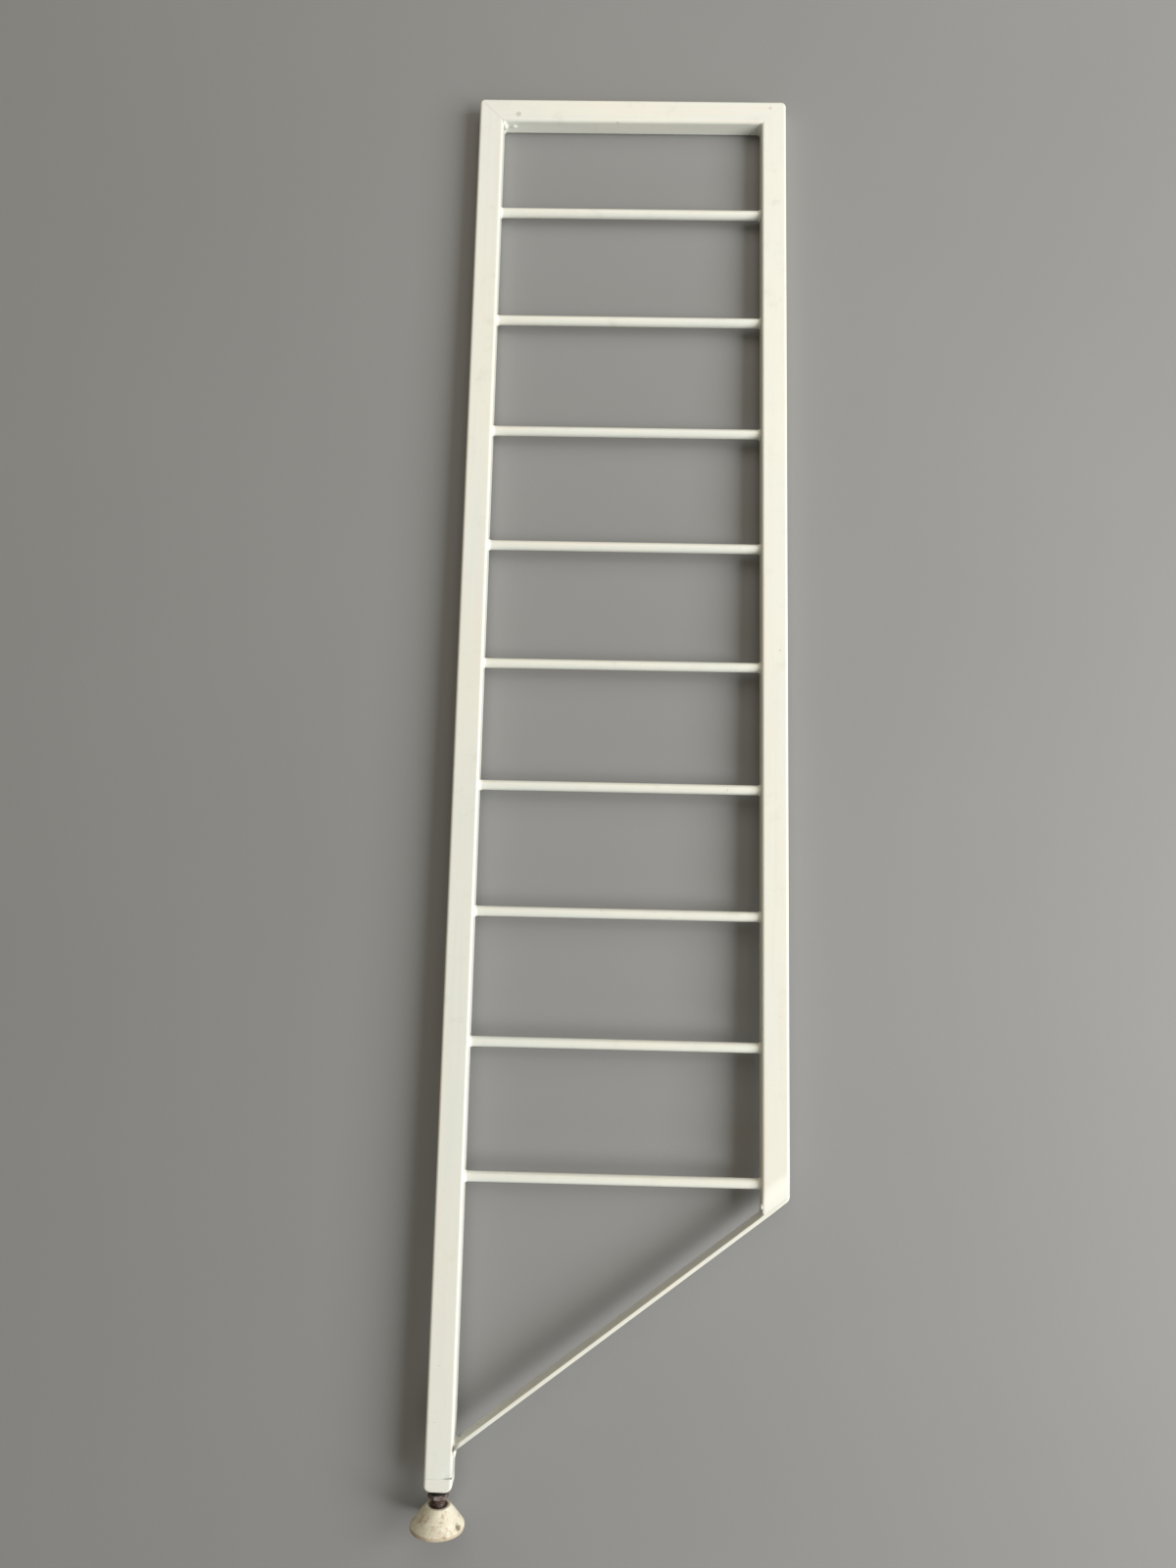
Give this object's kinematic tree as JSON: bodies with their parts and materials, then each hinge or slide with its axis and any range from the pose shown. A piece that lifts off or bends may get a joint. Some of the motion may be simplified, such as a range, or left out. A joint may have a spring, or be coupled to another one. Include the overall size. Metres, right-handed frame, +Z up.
{
  "type": "ladder side frame for shelving",
  "caption": "Enamelled steel ladder upright for hook-on shelves: unequal posts, round rungs, a raked flat-bar brace and a conical levelling foot.",
  "frame": {"origin": "centre of the bottom of the whole frame's box as it lies on its back: the floor under the middle of the ladder", "axes": "+X across from the long post to the short post, +Y up the ladder from the levelling foot to the top rail, +Z up from the floor through the frame's depth"},
  "size_m": [0.263, 1.097, 0.038],
  "materials": {
    "enamel": "warm white stoved enamel, semi-gloss, lightly yellowed, with small chips and rubbed edges",
    "foot_plastic": "aged cream plastic, scuffed, stained brown in patches and round the rim",
    "rusty_steel": "steel bolt and nut under dark brown rust, worn grey on the thread's crests and the nut's flats",
    "black_steel": "blackened spring steel, dull and oily"
  },
  "bodies": {
    "frame": {"long_post": "enamel", "short_post": "enamel", "top_rail": "enamel", "rung_1": "enamel", "rung_2": "enamel", "rung_3": "enamel", "rung_4": "enamel", "rung_5": "enamel", "rung_6": "enamel", "rung_7": "enamel", "rung_8": "enamel", "rung_9": "enamel", "diagonal_brace": "enamel", "end_plug": "enamel", "lock_washer": "black_steel", "lock_nut": "rusty_steel"},
    "foot": {"foot_cone": "foot_plastic"},
    "foot_screw": {"foot_bolt": "rusty_steel"}
  },
  "joints": [
    {"name": "foot_travel", "type": "slide", "parent": "frame", "child": "foot", "axis": [0, -1, 0], "range_m": [-0.00375, 0.02]},
    {"name": "foot_turn", "type": "hinge", "parent": "foot", "child": "foot_screw", "pos_m": [-0.1125, -0.5335, 0.019], "axis": [0, -1, 0], "range_deg": [-1081, 5761]}
  ],
  "couplings": [
    {"joint": "foot_turn", "follows": "foot_travel", "rad_per_m": 5026.5}
  ]
}
